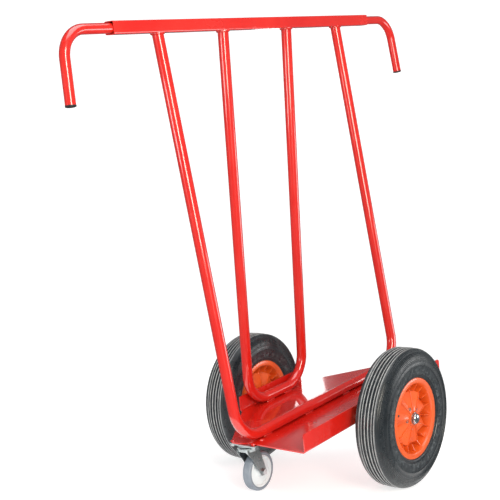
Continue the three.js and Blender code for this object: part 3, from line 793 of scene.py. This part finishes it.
def make_axle_end(side, name):
    """The domed push-on cap on the axle's end."""
    bm = bmesh.new()
    low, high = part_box(name + "_axle_cap")
    cap_r = (high.z - low.z) / 2
    base = TRACK_HALF + HUB_FACE + 0.003
    height = max(abs(low.y), abs(high.y)) - base
    dome_r = cap_r - 0.0010
    profile = [(0.0105, base), (cap_r - 0.0012, base), (cap_r, base + 0.0008)]
    profile += [(cap_r, base + height * 0.28), (dome_r, base + height * 0.36)]
    for i in range(1, 8):
        t = math.radians(90) * i / 8
        profile.append((dome_r * math.cos(t), base + height * (0.36 + 0.64 * math.sin(t))))
    profile.append((0, base + height))
    lathe(bm, [(r, side * y) for r, y in profile], 56)
    place = Matrix.Translation((AXLE.x, 0, AXLE.z))
    finish_piece(name + "_hub_cap", bm, "frame", STEEL, [name + "_axle_cap"], place)


def make_valve(side, name):
    """The stem leans out of the rim's channel towards the hub."""
    mirror = Matrix.Scale(side, 4, (0, 1, 0))
    lean = Matrix.Translation((0.0935, 0.020, 0)) @ Matrix.Rotation(VALVE_LEAN, 4, "Z")
    place = wheel_place(side) @ Matrix.Rotation(-VALVE_PHASE, 4, "Y") @ mirror @ lean
    profile = [(0, 0), (0.0042, 0), (0.0042, 0.005), (0.0036, 0.006)]
    profile += [(0.0032, 0.0065), (0.0032, 0.012)]
    for k in range(4):
        profile += [(0.0036, 0.0122 + k * 0.0012), (0.0032, 0.0128 + k * 0.0012)]
    profile += [(0.0036, 0.0172), (0.0030, 0.0190), (0.0026, 0.0215), (0.0020, 0.022), (0, 0.022)]
    bm = bmesh.new()
    lathe(bm, profile, 20)
    piece, node, body = name + "_valve_stem", name + "_valve", name + "_wheel"
    finish_piece(piece, bm, body, BLACK, [node], place)


def make_rim_screws(side, name):
    """Socket-head screws that hold the two halves of the rim together."""
    profile = [(0, 0.0300), (0.0022, 0.0300), (0.0025, 0.0324), (0.0040, 0.0332)]
    profile += [(0.0048, 0.0326), (0.0050, 0.0316), (0.0050, 0.0270)]
    profile += [(0.0030, 0.0268), (0.0030, -0.0280), (0, -0.0290)]
    out = Matrix.Translation((SCREW_CIRCLE, 0, 0))
    for k in range(SCREWS):
        angle = SCREW_PHASE + 2 * math.pi * k / SCREWS
        bm = bmesh.new()
        lathe(bm, [(r, side * y) for r, y in profile], 24, place=out)
        place = wheel_place(side) @ Matrix.Rotation(-angle, 4, "Y")
        node = f"{name}_rim_screw_{k + 1}"
        finish_piece(node + "_socket", bm, name + "_wheel", ZINC, [node], place)


# ---------------------------------------------------------------------- caster

def make_fork():
    """A pressed fork: a crown with a rolled skirt and a hood, and two raked cheeks."""
    upright = Matrix.Rotation(math.pi / 2, 4, "X")
    # (radius, depth below the fork's top)
    crown = [(0.0068, 0), (0.0250, 0), (0.0272, 0.0010), (0.0284, 0.0030), (0.0286, 0.0110)]
    crown += [(0.0266, 0.0110), (0.0262, 0.0045), (0.0245, 0.0030), (0.0068, 0.0030)]
    bm = bmesh.new()
    hanging = Matrix.Scale(-1, 4, (0, 0, 1)) @ upright
    lathe(bm, [(r, depth - FORK_TOP) for r, depth in crown], 64, closed=True, place=hanging)
    add_fork_hood(bm)
    finish_piece("caster_fork_crown", bm, "caster_swivel", ZINC, place=CASTER_PLACE)
    bm = bmesh.new()
    cheek = [
        (-0.0262, FORK_TOP - 0.0020),
        (-0.0255, FORK_TOP - 0.0160),
        (-0.0060, FORK_TOP - 0.0420),
        (TRAIL - 0.0115, CASTER_AXLE_Z - 0.0040),
        (TRAIL - 0.0085, CASTER_AXLE_Z - 0.0105),
        (TRAIL + 0.0085, CASTER_AXLE_Z - 0.0105),
        (TRAIL + 0.0115, CASTER_AXLE_Z + 0.0040),
        (TRAIL - 0.0010, FORK_TOP - 0.0400),
        (0.0262, FORK_TOP - 0.0170),
        (0.0262, FORK_TOP - 0.0020),
    ]
    outline = rounded(cheek, 0.009, 5)
    for side in (-1, 1):
        shift = Matrix.Translation((0, side * CHEEK_Y, 0))
        prism(bm, outline, -CHEEK_HALF, CHEEK_HALF, shift @ upright, 0.0005)
    # The cheeks get the half-bright zinc: painted shade.
    body, node = "caster_swivel", "caster_fork"
    finish_piece("caster_fork_cheeks", bm, body, SHADED_ZINC, [node], CASTER_PLACE)


def add_fork_hood(bm):
    """The curved web over the wheel that joins the cheeks' front edges, arched below."""
    across, down = 24, 8
    start = FORK_TOP - 0.0018

    def sheet(depth):
        rows = []
        for j in range(down + 1):
            row = []
            for i in range(across + 1):
                u = 2 * i / across - 1
                end = FORK_TOP - 0.0075 - 0.0260 * abs(u) ** 3
                z = start + (end - start) * j / down
                x = -0.0268 + 0.0060 * abs(u) ** 4 + 0.36 * max(0, FORK_TOP - 0.010 - z)
                row.append(bm.verts.new((x + depth, 0.0203 * u, z)))
            rows.append(row)
        return rows

    close_sheets(bm, sheet(0), sheet(0.0025))


def make_caster_head():
    """The swivel bearing's cup under the top plate."""
    # (radius, depth below the plate)
    cup = [(0.0066, 0.0041), (0.0230, 0.0041), (0.0256, 0.0048), (0.0260, 0.0062)]
    cup += [(0.0258, 0.0082), (0.0240, 0.0094), (0.0215, 0.0098), (0.0066, 0.0098)]
    bm = bmesh.new()
    hanging = Matrix.Rotation(-math.pi / 2, 4, "X")
    lathe(bm, cup, 64, closed=True, place=hanging)
    finish_piece("caster_cup", bm, "frame", ZINC, ["caster_bearing_race"], CASTER_PLACE)


def make_caster_wheel():
    """A rubber tread on a recessed plastic centre; the profiles are (radius, y) halves."""
    place = CART @ Matrix.Translation(CASTER + Vector((TRAIL, 0, CASTER_AXLE_Z)))
    body = "caster_wheel"
    tread = [(CASTER_R, 0.0), (CASTER_R, 0.0070), (CASTER_R - 0.0005, 0.0095), (0.0538, 0.0118)]
    tread += [(0.0515, 0.0134), (0.0490, 0.0139), (0.0478, 0.0136)]
    tread += [(0.0472, 0.0128), (0.0455, 0.0128), (0.0452, 0.0)]
    bm = bmesh.new()
    lathe(bm, mirrored(tread), 112, closed=True)
    finish_piece("caster_tyre", bm, body, GREY, ["caster_tread"], place, 40)

    centre = [(0.0448, 0.0), (0.0448, 0.0124), (0.0442, 0.0131), (0.0412, 0.0131)]
    centre += [(0.0404, 0.0122), (0.0396, 0.0086), (0.0384, 0.0074), (0.0180, 0.0080)]
    centre += [(0.0160, 0.0092), (0.0146, 0.0140), (0.0138, 0.0155), (0.0080, 0.0155)]
    centre += [(0.0080, 0.0)]
    bm = bmesh.new()
    lathe(bm, mirrored(centre), 112, closed=True)
    node = "caster_wheel_core"
    finish_piece("caster_centre", bm, body, WHITE, [node], place, 40)


# ---------------------------------------------------- nodes kept from the CAD

def soften(piece, width):
    """Rounds the edges of a CAD part that stays visible."""
    modifier = piece.modifiers.new("edges", "BEVEL")
    modifier.width = width
    modifier.segments = 2
    modifier.limit_method = "ANGLE"
    modifier.angle_limit = math.radians(38)


def repaint_cad_nodes():
    """Gives every CAD part its slot's finish, and rounds the edges of those that stay visible."""
    finishes = {
        "red_paint": RED,
        "zinc": ZINC,
        "bright_steel": STEEL,
        "black_plastic": BLACK,
        "tube_rubber": BLACK,
        "tyre_rubber": TYRE,
        "rim_plastic": ORANGE,
        "caster_rubber": GREY,
        "caster_plastic": WHITE,
    }
    slots = {part["node"]: part["material_slot"] for part in frame["record"]["subparts"]}
    for node, piece in frame["nodes"].items():
        piece.data.materials.clear()
        piece.data.materials.append(finishes[slots[node]])
        if not piece.hide_render:
            soften(piece, CAD_EDGE)


# ------------------------------------------------------------- camera and set

def make_camera():
    """Near the caster end, low and close, as a catalogue picture is taken."""
    data = bpy.data.cameras.new("camera")
    data.lens = 75.41
    data.sensor_width = 36.0
    data.shift_x = -0.0029
    data.shift_y = -0.0026
    camera = bpy.data.objects.new("camera", data)
    azimuth, elevation, roll = (math.radians(a) for a in (-51.808, 0.985, 1.064))
    level = math.cos(elevation)
    back = Vector((math.sin(azimuth) * level, -math.cos(azimuth) * level, math.sin(elevation)))
    aim = (-back).to_track_quat("-Z", "Y").to_matrix().to_4x4()
    place = Matrix.Translation((-2.43804, -1.77609, 0.72573))
    camera.matrix_world = place @ aim @ Matrix.Rotation(roll, 4, "Z")
    bpy.context.scene.collection.objects.link(camera)
    bpy.context.scene.camera = camera


def add_light(name, place, target, size, power, colour=(1, 1, 1), shape_y=None):
    """A soft rectangular light aimed at target: size wide and shape_y, or size, high."""
    data = bpy.data.lights.new(name, "AREA")
    data.shape = "RECTANGLE"
    data.size = size
    data.size_y = shape_y or size
    data.energy = power
    data.color = colour
    light = bpy.data.objects.new(name, data)
    aim = (Vector(target) - Vector(place)).to_track_quat("-Z", "Y").to_matrix().to_4x4()
    light.matrix_world = Matrix.Translation(place) @ aim
    light.visible_camera = False
    bpy.context.scene.collection.objects.link(light)


def make_paper(name, profile, material):
    """A sheet of pale paper turned about the vertical."""
    bm = bmesh.new()
    rings = []
    for radius, height in profile:
        spokes = [2 * math.pi * i / 96 for i in range(96 if radius else 1)]
        rings.append([bm.verts.new((radius * math.cos(t), radius * math.sin(t), height)) for t in spokes])
    loft(bm, rings)
    bmesh.ops.recalc_face_normals(bm, faces=bm.faces)
    for face in bm.faces:
        face.smooth = True
    mesh = bpy.data.meshes.new(name)
    bm.to_mesh(mesh)
    bm.free()
    mesh.materials.append(material)
    paper = bpy.data.objects.new(name, mesh)
    bpy.context.scene.collection.objects.link(paper)
    return paper


def make_floor():
    """A plain pale floor that rises into a backdrop all round. The backdrop casts no reflections."""
    s = Shader("floor_paper", Emission_Color=(1, 1, 1, 1), Emission_Strength=0.68)
    s.base(s.colours(s.noise(1.5, 2), (0.3, (0.49, 0.49, 0.49)), (0.7, (0.51, 0.51, 0.51))))
    s.rough(s.spread(s.noise(30.0, 3), 0.7, 0.8))
    make_paper("floor", [(0.0, 0.0), (0.25, 0.0), (0.5, 0.0)], s.material)
    rise = [(0.5, 0.0), (1.5, 0.0), (3.0, 0.0), (4.5, 0.0), (5.4, 0.12)]
    rise += [(6.1, 0.5), (6.6, 1.2), (6.8, 2.2), (6.9, 4.5), (6.9, 7.0)]
    backdrop = make_paper("backdrop", rise, s.material)
    backdrop.visible_glossy = False


def make_set():
    """The floor, the studio lights and a dim world."""
    make_floor()
    add_light("overhead", (-0.4, -0.6, 3.6), (0, 0, 0.4), 2.6, 62)
    add_light("tall_box", (-1.80, -2.62, 1.55), (0, 0, 0.75), 0.75, 92, (1, 0.93, 0.80), 2.3)
    add_light("right_fill", (2.4, -2.2, 0.7), (0.2, 0, 0.4), 1.1, 15, shape_y=0.9)
    add_light("left_fill", (-3.2, 0.9, 0.5), (-0.2, 0, 0.3), 1.0, 12, shape_y=0.5)
    add_light("tray_card", (2.42, 1.85, 1.49), (0.1, 0.1, 0.2), 0.21, 0.7, shape_y=0.26)
    world = bpy.data.worlds.new("studio")
    world.use_nodes = True
    background = world.node_tree.nodes["Background"]
    background.inputs["Color"].default_value = (0.9, 0.95, 1, 1)
    background.inputs["Strength"].default_value = 0.16
    bpy.context.scene.world = world
    bpy.context.scene.view_settings.view_transform = "Standard"


# -------------------------------------------------------------------- assembly

make_camera()
make_base_plate()
make_floor_welds()
tops = make_hoop("outer_hoop", -0.013, 0.416, 0.4215)
tops += make_hoop("inner_hoop", 0.169, 0.1395, 0.1515)
make_bar_welds(tops)
make_bar()
make_handle(-1, "near")
make_handle(1, "far")
for side, name in ((-1, "near"), (1, "far")):
    make_tyre(side, name)
    make_rim_half(side, name, 1)
    make_rim_half(side, name, -1)
    make_axle_end(side, name)
    make_valve(side, name)
    make_rim_screws(side, name)
make_fork()
make_caster_head()
make_caster_wheel()
repaint_cad_nodes()
make_set()
